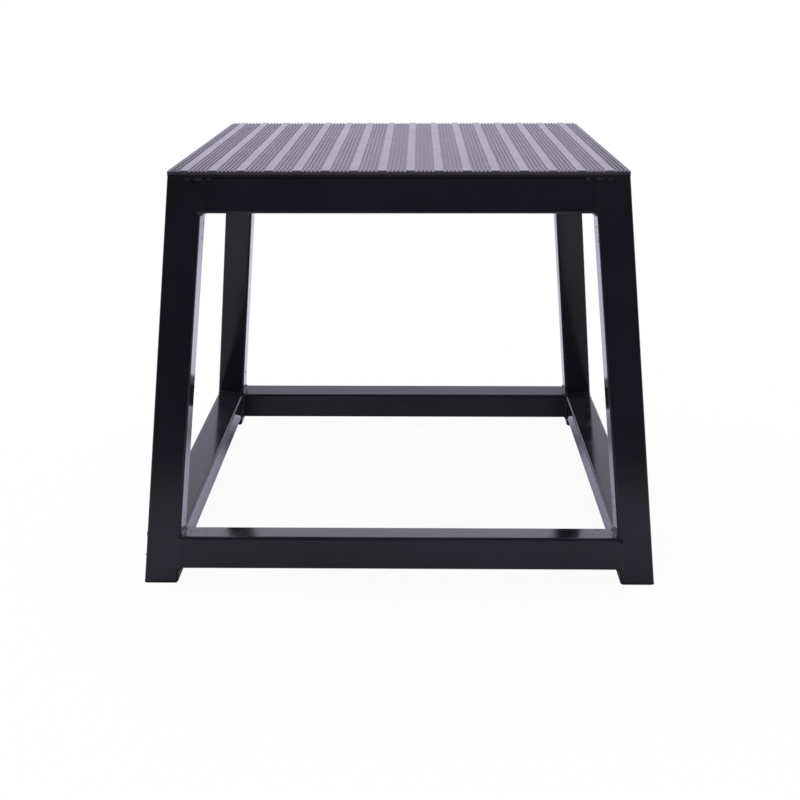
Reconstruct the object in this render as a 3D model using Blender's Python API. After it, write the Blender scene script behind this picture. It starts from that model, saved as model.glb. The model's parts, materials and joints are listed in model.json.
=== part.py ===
# Plyometric box: a welded frame of square steel tube that leans in on all four sides,
# with a steel deck plate and a ribbed rubber mat. Metres, +Z up.
# The origin is on the floor, in the middle of the four feet. The front faces -Y.

import math

import bmesh
import bpy
from mathutils import Matrix, Vector

# Overall size
TOP_WIDTH = 0.325  # deck, edge to edge, the same both ways
BASE_WIDTH = 0.384  # over the outer faces of the feet, the same both ways
FRAME_HEIGHT = 0.300  # floor to the underside of the deck plate
DECK_THICKNESS = 0.002
DECK_CORNER = 0.002  # radius of the plan corners of the deck plate and the mat

# Square tube
TUBE = 0.025
TUBE_WALL = 0.0015
TUBE_RADIUS = 0.002
CORNER_STEPS = 3
LOWER_RAIL_CLEAR = 0.0115  # floor to the lowest edge of a lower rail
FIT = 0.0003  # gap between pieces that touch
LEG_FIT = 0.0004  # gap between a weld and its leg, whose faces lie in line with the rails'
MERGE = 0.00002  # points of a cut weld that lie closer than this become one

# Foot caps
TREAD_THICKNESS = 0.002
TREAD_EDGE = 0.0006
PLUG_CORE = 0.0195
PLUG_FIN = 0.0215
PLUG_WALL = 0.0015
PLUG_HEIGHT = 0.012  # above the tread
FIN_GAP = 0.0025
FIN_THICKNESS = 0.0008
FIN_COUNT = 3

# Weld beads round the rail ends
BEAD_RADIUS = 0.0034
BEAD_SINK = 0.0008  # depth of the bead's middle under the faces where it makes a fillet
BEAD_INSET = 0.0028  # the same under the side faces, where the bead lies nearly flush
BEAD_TURN = 0.0020

# Weld beads in the seam under the deck's edge, across each top joint
SEAM_RADIUS = 0.0013
SEAM_DROP = 0.0007  # below the deck plate's underside
SEAM_SINK = 0.0005  # behind the frame's outer face
SEAM_START = 0.131  # from the middle of the side
SEAM_END = 0.150
SEAM_STEPS = 7
SEAM_TIP = 0.55  # size of the bead's ends, against its middle

# Rubber mat
GROOVE_HEIGHT = 0.0022  # from the deck plate up to the bottoms of the grooves
MAT_THICKNESS = 0.003  # from the deck plate up to the tops of the bands and ribs
BAND_COUNT = 16
BAND_PITCH = 0.0199
BAND_WIDTH = 0.0062
FIRST_BAND = 0.0119  # from the mat's left edge to the middle of the first band
RIBS_BETWEEN = 4
RIB_PITCH = 0.00283
RIB_WIDTH = 0.00095
RIB_DRAFT = 0.0002  # how much wider a rib or band is at its foot, on each side

# The sides in turn, and the corner at the left end of each, seen from outside
SIDES = ("front", "right", "rear", "left")
CORNERS = ("front_left", "front_right", "rear_right", "rear_left")

# How far a side leans in for each metre of height, and its angle from upright
SLOPE = (BASE_WIDTH - TOP_WIDTH) / 2 / FRAME_HEIGHT
SPLAY = math.atan(SLOPE)
# A leaning tube measures a little more across a level cut
LEG_SECTION = TUBE / math.cos(SPLAY)
LEG_OFFSET = (BASE_WIDTH - LEG_SECTION) / 2
LOWER_RAIL_TOP = LOWER_RAIL_CLEAR + TUBE * math.cos(SPLAY)


def half_width(height):
    """Half of the frame's width over its outer faces at a height."""
    return BASE_WIDTH / 2 - SLOPE * height


# Scene helpers


def clear_scene():
    """Remove every object that the scene starts with."""
    for old in list(bpy.data.objects):
        bpy.data.objects.remove(old, do_unlink=True)


def new_collection(name):
    """Make a collection in the scene."""
    made = bpy.data.collections.new(name)
    bpy.context.scene.collection.children.link(made)
    return made


def new_material(name, color, roughness, coat=0.0):
    """Make a Principled material."""
    made = bpy.data.materials.new(name)
    made.use_nodes = True
    made.diffuse_color = (*color, 1.0)
    shader = made.node_tree.nodes["Principled BSDF"]
    shader.inputs["Base Color"].default_value = (*color, 1.0)
    shader.inputs["Roughness"].default_value = roughness
    shader.inputs["Metallic"].default_value = 0.0
    shader.inputs["Coat Weight"].default_value = coat
    return made


def to_mesh(bm, name, surface=None):
    """Turn a bmesh into a mesh with outward faces, smooth round corners and crisp edges."""
    bmesh.ops.recalc_face_normals(bm, faces=bm.faces[:])
    mesh = bpy.data.meshes.new(name)
    bm.to_mesh(mesh)
    bm.free()
    mesh.shade_smooth()
    mesh.set_sharp_from_angle(angle=math.radians(35))
    if surface:
        mesh.materials.append(surface)
    return mesh


def place(name, data, group, parent=None, location=(0, 0, 0), rotation=(0, 0, 0)):
    """Put a mesh or a curve in a collection as a named object."""
    made = bpy.data.objects.new(name, data)
    made.parent = parent
    made.location = location
    made.rotation_euler = rotation
    group.objects.link(made)
    return made


def evaluated_bmesh(made):
    """Give the shape of an object as its modifiers or its curve settings leave it."""
    graph = bpy.context.evaluated_depsgraph_get()
    mesh = bpy.data.meshes.new_from_object(made.evaluated_get(graph))
    bm = bmesh.new()
    bm.from_mesh(mesh)
    bpy.data.meshes.remove(mesh)
    return bm


# Square tube


def rounded_square(bm, size, radius, steps):
    """Add a flat square face with rounded corners around the origin, and return it."""
    made = bmesh.ops.create_circle(bm, cap_ends=True, segments=4, radius=size / math.sqrt(2))
    bmesh.ops.rotate(bm, verts=made["verts"], matrix=Matrix.Rotation(math.radians(45), 3, "Z"))
    bmesh.ops.bevel(
        bm,
        geom=made["verts"],
        offset=radius,
        segments=steps,
        profile=0.5,
        affect="VERTICES",
    )
    return bm.faces[:][0]


def lift(bm, faces, rise, ratio=1.0, keep=False):
    """Extrude faces along Z, scale the new end about the Z axis, and return its faces.

    The faces that it starts from stay only where they are the bottom of the shape.
    """
    grown = bmesh.ops.extrude_face_region(bm, geom=faces)
    if not keep:
        bmesh.ops.delete(bm, geom=faces, context="FACES_ONLY")
    ends = [item for item in grown["geom"] if isinstance(item, bmesh.types.BMVert)]
    bmesh.ops.translate(bm, verts=ends, vec=(0, 0, rise))
    bmesh.ops.scale(bm, verts=ends, vec=(ratio, ratio, 1))
    return [item for item in grown["geom"] if isinstance(item, bmesh.types.BMFace)]


def square_bar(length, size, radius, wall):
    """Make a square tube that stands on the XY plane, or a solid bar where wall is 0."""
    bm = bmesh.new()
    face = rounded_square(bm, size, radius, CORNER_STEPS)
    if wall:
        bmesh.ops.inset_region(
            bm, faces=[face], thickness=wall, use_even_offset=True, use_boundary=True
        )
        bmesh.ops.delete(bm, geom=[face], context="FACES_ONLY")
    lift(bm, bm.faces[:], length, keep=True)
    return bm


def lean(bm):
    """Shear an upright piece so that it leans in along +X and +Y as it rises."""
    shear = Matrix.Shear("XY", 4, (SLOPE, SLOPE))
    bmesh.ops.transform(bm, matrix=shear, verts=bm.verts[:])


def leg(bottom, top, grow=0.0, wall=TUBE_WALL):
    """Make a leg that leans in along +X and +Y, with both ends cut level.

    A grown leg is larger by that much all round.
    """
    bm = square_bar(top - bottom, LEG_SECTION + 2 * grow, TUBE_RADIUS + grow, wall)
    bmesh.ops.translate(bm, verts=bm.verts[:], vec=(0, 0, bottom))
    lean(bm)
    return bm


def rail_middle(top_edge):
    """Find the middle of a front rail from the height of its outer top edge."""
    face_middle = top_edge - TUBE / 2 * math.cos(SPLAY)
    depth = TUBE / 2 * math.cos(SPLAY) - half_width(face_middle)
    return Vector((0, depth, face_middle - TUBE / 2 * math.sin(SPLAY)))


def rail_seat(middle):
    """Give a front rail's placement, rolled so that its outer face lies in the leaning side."""
    return Matrix.Translation(middle) @ Matrix.Rotation(-SPLAY, 4, "X")


def rail(middle, grow=0.0, gap=FIT, wall=TUBE_WALL):
    """Make a front rail along X, its ends mitred to the legs' inner faces.

    Each point of an end slides along the rail until it meets the leg.
    """
    bm = square_bar(1.0, TUBE + 2 * grow, TUBE_RADIUS + grow, wall)
    bmesh.ops.translate(bm, verts=bm.verts[:], vec=(0, 0, -0.5))
    bmesh.ops.rotate(bm, verts=bm.verts[:], matrix=Matrix.Rotation(math.radians(90), 3, "Y"))
    seat = rail_seat(middle)
    for vert in bm.verts:
        reach = half_width((seat @ vert.co).z) - LEG_SECTION - gap
        vert.co.x = math.copysign(reach, vert.co.x)
    return bm


# Foot cap


def foot_cap():
    """Make a foot cap: a square tread under a hollow plug with fins that grip the bore."""
    bm = bmesh.new()
    sole = LEG_SECTION - 2 * TREAD_EDGE
    face = rounded_square(bm, sole, TUBE_RADIUS - TREAD_EDGE, CORNER_STEPS - 1)
    top = lift(bm, [face], TREAD_EDGE, LEG_SECTION / sole, keep=True)
    top = lift(bm, top, TREAD_THICKNESS - FIT - TREAD_EDGE)
    top = lift(bm, top, 0.0, PLUG_CORE / LEG_SECTION)
    for _ in range(FIN_COUNT):
        top = lift(bm, top, FIN_GAP)
        top = lift(bm, top, 0.0, PLUG_FIN / PLUG_CORE)
        top = lift(bm, top, FIN_THICKNESS, PLUG_CORE / PLUG_FIN)
    top = lift(bm, top, PLUG_HEIGHT - FIN_COUNT * (FIN_GAP + FIN_THICKNESS))
    bmesh.ops.inset_region(bm, faces=top, thickness=PLUG_WALL, use_even_offset=True)
    lift(bm, top, -PLUG_HEIGHT)
    lean(bm)
    return bm


# Weld beads, all made for the front right corner


def turned_path(points, closed):
    """Round the right-angled corners of a path. The ends of an open path stay."""
    path = []
    for number, corner in enumerate(points):
        if not closed and number in (0, len(points) - 1):
            path.append(corner)
            continue
        incoming = (corner - points[number - 1]).normalized()
        outgoing = (points[(number + 1) % len(points)] - corner).normalized()
        for step in range(CORNER_STEPS + 1):
            angle = math.radians(90 * step / CORNER_STEPS)
            along = (math.sin(angle) - 1) * incoming + (1 - math.cos(angle)) * outgoing
            path.append(corner + BEAD_TURN * along)
    return path


def bead_path(middle, under_deck, goes_round):
    """Trace the bead round the right end of a front rail, just under the leg's inner face.

    The two rails that meet at a leg share the bead in the angle between them. One rail's
    bead goes round and takes it in, and the other's stops there. Under the deck both stop
    at the rail's top.
    """
    outer = BEAD_INSET - TUBE / 2
    inner = TUBE / 2 - BEAD_SINK
    top = TUBE / 2 if under_deck else TUBE / 2 - BEAD_SINK
    bottom = BEAD_SINK - TUBE / 2
    section = [(outer, top), (outer, bottom), (inner, bottom)]
    if under_deck and goes_round:
        section.append((inner, top))
    if not under_deck:
        section.insert(0, (inner, top))
    outline = turned_path([Vector(point) for point in section], goes_round and not under_deck)
    seat = rail_seat(middle)
    path = []
    for across, up in outline:
        point = seat @ Vector((0, across, up))
        point.x = half_width(point.z) - LEG_SECTION + BEAD_SINK
        path.append(point)
    return path


def seam_path():
    """Trace the bead in the seam between the deck plate and the front of the frame."""
    height = FRAME_HEIGHT - SEAM_DROP
    depth = SEAM_SINK - half_width(height)
    run = (SEAM_END - SEAM_START) / SEAM_STEPS
    return [Vector((SEAM_START + step * run, depth, height)) for step in range(SEAM_STEPS + 1)]


def on_right_side(path):
    """Mirror a path from the front side to the right side, across the leg between them."""
    return [Vector((-point.y, -point.x, point.z)) for point in path]


def swept_bead(path, radius, closed, group, tip=1.0):
    """Sweep a round bead along a path. The tip is the size of its ends against the rest."""
    curve = bpy.data.curves.new("bead_path", "CURVE")
    curve.dimensions = "3D"
    curve.bevel_depth = radius
    curve.bevel_resolution = 2
    curve.use_fill_caps = True
    spline = curve.splines.new("POLY")
    spline.points.add(len(path) - 1)
    for point, position in zip(spline.points, path):
        point.co = (*position, 1.0)
    for end in (spline.points[0], spline.points[-1]):
        end.radius = tip
    spline.use_cyclic_u = closed
    guide = place("bead_path", curve, group)
    bm = evaluated_bmesh(guide)
    bpy.data.objects.remove(guide, do_unlink=True)
    bmesh.ops.remove_doubles(bm, verts=bm.verts[:], dist=1e-6)
    return to_mesh(bm, "bead")


def block(size):
    """Make a plain block around the origin."""
    bm = bmesh.new()
    bmesh.ops.create_cube(bm, size=1.0)
    bmesh.ops.scale(bm, verts=bm.verts[:], vec=size)
    return to_mesh(bm, "block")


def place_cutter(name, mesh, group, location=(0, 0, 0), rotation=(0, 0, 0)):
    """Put a solid that cuts or joins others in the cutters' collection, shown as wire."""
    made = place(name, mesh, group, None, location, rotation)
    made.hide_render = True
    made.display_type = "WIRE"
    return made


def place_on_two_sides(name, mesh, group, location):
    """Place a cutter that lies in the leaning front side, and again in the right side."""
    made = []
    for turn in range(2):
        spin = math.radians(90 * turn)
        where = Matrix.Rotation(spin, 3, "Z") @ location
        full_name = f"{name}_{SIDES[turn]}"
        made.append(place_cutter(full_name, mesh, group, where, (-SPLAY, 0, spin)))
    return made


def outside_cutters(group):
    """Place blocks outside the front and right sides, which grind the beads flush."""
    depth = 0.02
    outward = Vector((0, -math.cos(SPLAY), math.sin(SPLAY)))
    where = Vector((0, -half_width(0), 0)) + outward * depth / 2
    mesh = block((2 * BASE_WIDTH, depth, 3 * FRAME_HEIGHT))
    return place_on_two_sides("outside", mesh, group, where)


def leg_cutter(group):
    """Place the front right leg as a solid, larger all round by its fit."""
    top = FRAME_HEIGHT + DECK_THICKNESS
    grown = to_mesh(leg(-LEG_FIT, top, grow=LEG_FIT, wall=0.0), "leg_cutter")
    return place_cutter(
        "leg_cutter", grown, group, (LEG_OFFSET, -LEG_OFFSET, 0), (0, 0, math.radians(90))
    )


def deck_cutter(group):
    """Place the deck plate as a thicker block, larger all round by the fit."""
    depth = 0.02
    width = TOP_WIDTH + 2 * FIT
    mesh = block((width, width, depth))
    return place_cutter("deck_cutter", mesh, group, (0, 0, FRAME_HEIGHT - FIT + depth / 2))


def rail_cutters(name, middle, group):
    """Place the front and right rails as solids, larger all round by the fit."""
    grown = to_mesh(rail(middle, grow=FIT, gap=FIT - LEG_FIT, wall=0.0), name)
    return place_on_two_sides(name, grown, group, middle)


def add_booleans(made, operation, others):
    """Add Boolean modifiers. A bead overlaps itself in its tight turns, hence use_self."""
    for other in others:
        modifier = made.modifiers.new(other.name, "BOOLEAN")
        modifier.solver = "EXACT"
        modifier.use_self = True
        modifier.operation = operation
        modifier.object = other


def joint_point(middle):
    """Give the point on the front right leg's inner edge at the height of a rail's axis."""
    inner = half_width(middle.z) - LEG_SECTION
    return Vector((inner, -inner, middle.z))


def corner_weld(name, middle, under_deck, group):
    """Make the weld between the front right leg and the two rails that end on it.

    The beads are joined, ground flush with the outer faces, and cut back to the surfaces
    that they fuse. Under the deck the corner's two seam beads join them.
    """
    ring = bead_path(middle, under_deck, True)
    hook = on_right_side(bead_path(middle, under_deck, False))
    weld = place_cutter(name, swept_bead(ring, BEAD_RADIUS, not under_deck, group), group)
    second = place_cutter(name + "_hook", swept_bead(hook, BEAD_RADIUS, False, group), group)
    add_booleans(weld, "UNION", [second])
    add_booleans(weld, "DIFFERENCE", outside_cutters(group))
    if under_deck:
        for path in (seam_path(), on_right_side(seam_path())):
            seam = swept_bead(path, SEAM_RADIUS, False, group, SEAM_TIP)
            add_booleans(weld, "UNION", [place_cutter(name + "_seam", seam, group)])
        add_booleans(weld, "DIFFERENCE", [deck_cutter(group)])
    add_booleans(weld, "DIFFERENCE", [leg_cutter(group)])
    add_booleans(weld, "DIFFERENCE", rail_cutters(name + "_rail", middle, group))
    bm = evaluated_bmesh(weld)
    bmesh.ops.remove_doubles(bm, verts=bm.verts[:], dist=MERGE)
    bmesh.ops.dissolve_degenerate(bm, edges=bm.edges[:], dist=MERGE / 2)
    bmesh.ops.translate(bm, verts=bm.verts[:], vec=-joint_point(middle))
    return bm


# Deck plate and rubber mat


def deck_plate():
    """Make the deck plate, its underside at the origin."""
    bm = bmesh.new()
    face = rounded_square(bm, TOP_WIDTH, DECK_CORNER, CORNER_STEPS)
    lift(bm, [face], DECK_THICKNESS, keep=True)
    return bm


def raised_spans():
    """List where each band and rib starts and ends across the mat, from its left edge.

    The pattern repeats along the sheet, so ribs also lie outside the first and last bands.
    A rib that the sheet's edge would split is left out.
    """
    spans = []
    for number in range(-1, BAND_COUNT):
        band = FIRST_BAND + number * BAND_PITCH
        if number >= 0:
            spans.append((band - BAND_WIDTH / 2, band + BAND_WIDTH / 2))
        for rib in range(RIBS_BETWEEN):
            middle = band + BAND_PITCH / 2 + (rib - (RIBS_BETWEEN - 1) / 2) * RIB_PITCH
            spans.append((middle - RIB_WIDTH / 2, middle + RIB_WIDTH / 2))
    margin = DECK_CORNER + RIB_DRAFT
    return [span for span in spans if margin < span[0] and span[1] < TOP_WIDTH - margin]


def mat_section():
    """Trace the mat's top across its width as points of distance and height."""
    section = [(0.0, GROOVE_HEIGHT)]
    for start, end in raised_spans():
        section.append((start - RIB_DRAFT, GROOVE_HEIGHT))
        section.append((start, MAT_THICKNESS))
        section.append((end, MAT_THICKNESS))
        section.append((end + RIB_DRAFT, GROOVE_HEIGHT))
    section.append((TOP_WIDTH, GROOVE_HEIGHT))
    return section


def rubber_mat():
    """Make the mat from a strip with its section, drawn out from front to back."""
    section = mat_section()
    bm = bmesh.new()
    bmesh.ops.create_grid(bm, x_segments=len(section) - 1, y_segments=1, size=0.5)
    columns = sorted(bm.verts, key=lambda vert: (round(vert.co.x, 5), vert.co.y))
    for number, (across, height) in enumerate(section):
        lower, upper = columns[2 * number : 2 * number + 2]
        lower.co = (across - TOP_WIDTH / 2, -TOP_WIDTH / 2, FIT)
        upper.co = (across - TOP_WIDTH / 2, -TOP_WIDTH / 2, height)
    grown = bmesh.ops.extrude_face_region(bm, geom=bm.faces[:])
    ends = [item for item in grown["geom"] if isinstance(item, bmesh.types.BMVert)]
    bmesh.ops.translate(bm, verts=ends, vec=(0, TOP_WIDTH, 0))
    uprights = [edge for edge in bm.edges if is_corner_upright(edge)]
    bmesh.ops.bevel(
        bm,
        geom=uprights,
        offset=DECK_CORNER,
        segments=CORNER_STEPS,
        profile=0.5,
        affect="EDGES",
    )
    return bm


def is_corner_upright(edge):
    """Tell whether an edge is one of the mat's four upright corners."""
    rim = TOP_WIDTH / 2 - 1e-5
    at_corner = all(min(abs(vert.co.x), abs(vert.co.y)) > rim for vert in edge.verts)
    return at_corner and edge.calc_length() < MAT_THICKNESS


# The whole box


def main():
    clear_scene()
    parts = new_collection("plyometric_box")
    cutters = new_collection("cutters")

    frame_paint = new_material("frame_paint", (0.0145, 0.014, 0.0205), 0.14, coat=0.1)
    weld_paint = new_material("weld_paint", (0.0145, 0.014, 0.0205), 0.20, coat=0.3)
    deck_paint = new_material("deck_paint", (0.0135, 0.013, 0.019), 0.30)
    cap_plastic = new_material("cap_plastic", (0.018, 0.018, 0.019), 0.55)
    mat_rubber = new_material("mat_rubber", (0.125, 0.109, 0.150), 0.35)

    leg_mesh = to_mesh(leg(TREAD_THICKNESS, FRAME_HEIGHT - FIT), "leg", frame_paint)
    cap_mesh = to_mesh(foot_cap(), "foot_cap", cap_plastic)
    levels = []
    for level, top_edge in (("lower", LOWER_RAIL_TOP), ("top", FRAME_HEIGHT)):
        middle = rail_middle(top_edge)
        rail_mesh = to_mesh(rail(middle), level + "_rail", frame_paint)
        weld_bm = corner_weld(level + "_weld", middle, level == "top", cutters)
        levels.append((level, middle, rail_mesh, to_mesh(weld_bm, level + "_weld", weld_paint)))

    for turn, side in enumerate(SIDES):
        left_corner = CORNERS[turn]
        right_corner = CORNERS[(turn + 1) % len(CORNERS)]
        hub = place(side + "_side", None, parts, rotation=(0, 0, math.radians(90 * turn)))
        foot = (-LEG_OFFSET, -LEG_OFFSET, 0)
        place(left_corner + "_leg", leg_mesh, parts, hub, foot)
        place(left_corner + "_foot_cap", cap_mesh, parts, hub, foot)
        for level, middle, rail_mesh, weld_mesh in levels:
            place(f"{side}_{level}_rail", rail_mesh, parts, hub, middle, (-SPLAY, 0, 0))
            place(f"{right_corner}_{level}_weld", weld_mesh, parts, hub, joint_point(middle))

    deck_mesh = to_mesh(deck_plate(), "deck_plate", deck_paint)
    place("deck_plate", deck_mesh, parts, location=(0, 0, FRAME_HEIGHT))
    mat_mesh = to_mesh(rubber_mat(), "rubber_mat", mat_rubber)
    place("rubber_mat", mat_mesh, parts, location=(0, 0, FRAME_HEIGHT + DECK_THICKNESS))


main()
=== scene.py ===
# %% [markdown]
# A welded jump box, built as a lesson
# The object is a plyometric box: a gym step of square steel tube that people jump onto.
# Four legs lean in on both sides as they rise, rails join them near the floor and under
# the deck, and a ribbed rubber mat covers a thin steel plate on top.
# A measured model of it already exists. The lesson loads that model, builds a finer piece
# over all of its plain solids but the foot caps, and gives every surface its finish.

import json
import math
import random

import bmesh
import bpy
from mathutils import Matrix, Vector

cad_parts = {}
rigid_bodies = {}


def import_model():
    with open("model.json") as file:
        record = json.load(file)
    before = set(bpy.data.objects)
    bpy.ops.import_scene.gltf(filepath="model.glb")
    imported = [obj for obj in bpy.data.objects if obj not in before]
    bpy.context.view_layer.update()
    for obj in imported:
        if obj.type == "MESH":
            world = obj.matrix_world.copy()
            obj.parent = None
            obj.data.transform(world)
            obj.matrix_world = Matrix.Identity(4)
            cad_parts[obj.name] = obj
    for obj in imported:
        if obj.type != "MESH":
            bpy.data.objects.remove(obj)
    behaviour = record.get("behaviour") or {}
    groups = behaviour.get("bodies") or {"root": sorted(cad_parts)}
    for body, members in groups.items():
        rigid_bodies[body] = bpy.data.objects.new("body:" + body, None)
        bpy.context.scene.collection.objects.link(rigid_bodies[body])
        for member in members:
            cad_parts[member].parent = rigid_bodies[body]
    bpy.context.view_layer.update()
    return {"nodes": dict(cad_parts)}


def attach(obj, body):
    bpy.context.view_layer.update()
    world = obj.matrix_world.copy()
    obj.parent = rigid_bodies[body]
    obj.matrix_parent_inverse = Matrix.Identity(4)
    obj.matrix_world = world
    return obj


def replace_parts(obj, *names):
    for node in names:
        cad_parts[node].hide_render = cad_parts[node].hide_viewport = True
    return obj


for leftover in list(bpy.data.objects):
    bpy.data.objects.remove(leftover, do_unlink=True)

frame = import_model()

# %% [markdown]
# The sizes of a leaning frame
# All four sides lean in at the same small angle. A tube that leans both ways and is cut
# level shows a slightly larger square than the tube itself, and the rails are rolled by
# the angle so that their outer faces lie in line with the legs.
# One function that gives the frame's half width at a height replaces a long list of
# coordinates, because every other place on the frame follows from it.

# %% Name the sizes, in metres
TOP_WIDTH = 0.325
BASE_WIDTH = 0.384
FRAME_HEIGHT = 0.300
TUBE = 0.025
TUBE_RADIUS = 0.002
SLOPE = (BASE_WIDTH - TOP_WIDTH) / 2 / FRAME_HEIGHT
SPLAY = math.atan(SLOPE)
LEG_SECTION = TUBE / math.cos(SPLAY)
LEG_OFFSET = (BASE_WIDTH - LEG_SECTION) / 2


def half_width(height):
    """Half of the frame's width over its outer faces at a height."""
    return BASE_WIDTH / 2 - SLOPE * height


def half_gap(height):
    """Half of the gap between two legs at a height."""
    return half_width(height) - LEG_SECTION


print("the sides lean in by", round(math.degrees(SPLAY), 2), "degrees")

# %% Name the sides and corners in turn
SIDES = ("front", "right", "rear", "left")
CORNERS = ("front_left", "front_right", "rear_right", "rear_left")


def quarter_turns(turn):
    """Give the rotation that takes the front of the box to another side."""
    return Matrix.Rotation(math.radians(90 * turn), 4, "Z")


print("the front side reaches the right side after", quarter_turns(1).to_euler().z, "radians")

# %% [markdown]
# Small helpers for shader nodes
# A material is a chain of nodes. Each could be made and wired by hand, three lines at a
# time, but the pattern is always the same: make it, set its options, give each input a
# value or another node's output. One helper does that, and a few short ones name the
# steps that every finish here needs.

# %% Make and wire a shader node
def wire(tree, node, inputs):
    """Give a node's inputs, by name or by number, a value or another node's output."""
    for socket, value in inputs.items():
        if isinstance(value, bpy.types.NodeSocket):
            tree.links.new(value, node.inputs[socket])
        else:
            node.inputs[socket].default_value = value


def add_node(tree, kind, inputs=None, **options):
    """Add a shader node, set its options and wire its inputs."""
    made = tree.nodes.new("ShaderNode" + kind)
    for option, value in options.items():
        setattr(made, option, value)
    wire(tree, made, inputs or {})
    return made


def maths(tree, operation, first, second=0.0):
    """Do one sum on two numbers or sockets."""
    return add_node(tree, "Math", {0: first, 1: second}, operation=operation).outputs[0]


def times(tree, first, second):
    """Multiply two numbers or sockets."""
    return maths(tree, "MULTIPLY", first, second)


def plus(tree, first, second):
    """Add two numbers or sockets."""
    return maths(tree, "ADD", first, second)


def ramp(tree, value, low, high, start=0.0, end=1.0):
    """Turn a value between low and high smoothly into one between start and end."""
    inputs = {"Value": value, "From Min": low, "From Max": high, "To Min": start, "To Max": end}
    return add_node(tree, "MapRange", inputs, interpolation_type="SMOOTHSTEP").outputs[0]


def split(tree, vector):
    """Give a vector's X, Y and Z."""
    return add_node(tree, "SeparateXYZ", {0: vector}).outputs


def length_of(tree, vector):
    """Give a vector's length."""
    return add_node(tree, "VectorMath", {0: vector}, operation="LENGTH").outputs[1]


print("helpers ready: wire, add_node, maths, times, plus, ramp, split, length_of")

# %% Mix colours, noise and bumps, and start a material
def blend_colors(tree, factor, first, second):
    """Mix two colours, each a triple or a socket."""
    colors = [(*one, 1.0) if isinstance(one, tuple) else one for one in (first, second)]
    inputs = {0: factor, 6: colors[0], 7: colors[1]}
    return add_node(tree, "Mix", inputs, data_type="RGBA").outputs[2]


def lay_over(tree, color, mask, share, top):
    """Lay a top colour over another where the mask is 1, by a share at most."""
    return blend_colors(tree, times(tree, mask, share), color, top)


def noise(tree, place, scale, detail=2.0, stretch=(1, 1, 1), distortion=0.0):
    """Give noise between 0 and 1, about scale patches to the metre, at a place vector."""
    mapped = add_node(tree, "Mapping", {"Vector": place, "Scale": stretch}).outputs[0]
    inputs = {"Vector": mapped, "Scale": scale, "Detail": detail, "Distortion": distortion}
    return add_node(tree, "TexNoise", inputs).outputs["Fac"]


def bump(tree, height, depth, normal=None):
    """Raise the surface by a height between 0 and 1, depth metres deep."""
    inputs = {"Height": height, "Distance": depth, "Strength": 1.0}
    if normal is not None:
        inputs["Normal"] = normal
    return add_node(tree, "Bump", inputs).outputs[0]


def start_material(name):
    """Start a material. Return it with its nodes, its shader and each point's place."""
    made = bpy.data.materials.new(name)
    made.use_nodes = True
    tree = made.node_tree
    place = add_node(tree, "TexCoord").outputs["Object"]
    return made, tree, tree.nodes["Principled BSDF"], place


print("helpers ready: blend_colors, lay_over, noise, bump, start_material")

# %% [markdown]
# Where dust lies
# Dust settles on faces that look up and leaves upright ones clean. The surface normal's
# upward part tells the two apart, and broken noise keeps the dust from looking painted.
# The same few nodes serve the paint and the rubber.

# %% Find the dusty places
CLEAN_UPWARD = 0.55
DUSTY_UPWARD = 0.98
DUST_CLOUDS = (0.38, 0.75)


def upward_part(tree):
    """Give how far a face looks up: 1 where it is level, 0 where it is upright."""
    return split(tree, add_node(tree, "NewGeometry").outputs["Normal"])["Z"]


def dust_mask(tree, place):
    """Give 1 where a face looks up and dust lies, 0 where it is upright or clean."""
    level = ramp(tree, upward_part(tree), CLEAN_UPWARD, DUSTY_UPWARD)
    clouds = ramp(tree, noise(tree, place, scale=45, detail=5.0), *DUST_CLOUDS)
    return times(tree, level, clouds)


print("no dust lies on slopes over", round(math.degrees(math.acos(CLEAN_UPWARD))), "degrees")

# %% [markdown]
# The near-black coat on the steel
# The frame carries a glossy powder coat, baked on, near black with a faint violet tinge.
# A single dark glossy shader would look like plastic, so the coat is built from what
# happens to it: orange peel as the powder flows, the lines along the tube from the mill
# that show through, cloudy changes of gloss, sanding swirls round the ground joints, and
# a little dust. They are small bumps and changes of roughness. The colour hardly varies.

# %% Find the ground joints
JOINT_HEIGHTS = (0.024, 0.2875)
JOINT_REACH = 0.020
JOINT_UPWARD = 0.7


def joint_mask(tree, place):
    """Give 1 next to the joints, fading out over their reach.

    On an outer face the smaller of |x| and |y| is the distance along it. A distance up or
    down counts for less, because the grinder moves along the leg.
    """
    parts = split(tree, place)
    along = maths(tree, "MINIMUM", *[maths(tree, "ABSOLUTE", parts[axis]) for axis in "XY"])
    found = 0.0
    for height in JOINT_HEIGHTS:
        sideways = maths(tree, "SUBTRACT", along, half_gap(height))
        upward = times(tree, maths(tree, "SUBTRACT", parts["Z"], height), JOINT_UPWARD)
        flat = add_node(tree, "CombineXYZ", {0: sideways, 1: upward}).outputs[0]
        near = ramp(tree, length_of(tree, flat), JOINT_REACH / 4, JOINT_REACH, 1.0, 0.0)
        found = maths(tree, "MAXIMUM", near, found)
    return found


print("sanding shows within", JOINT_REACH * 1000, "mm of each joint")

# %% Mix the coat
COAT_COLOR = (0.0145, 0.014, 0.0205)
COAT_SHADES = (0.8, 1.25)
COAT_DUST = (0.32, 0.31, 0.32)
GLOSS_SPREAD = 0.10
ALONG_TUBE = (1, 1, 0.012)


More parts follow.
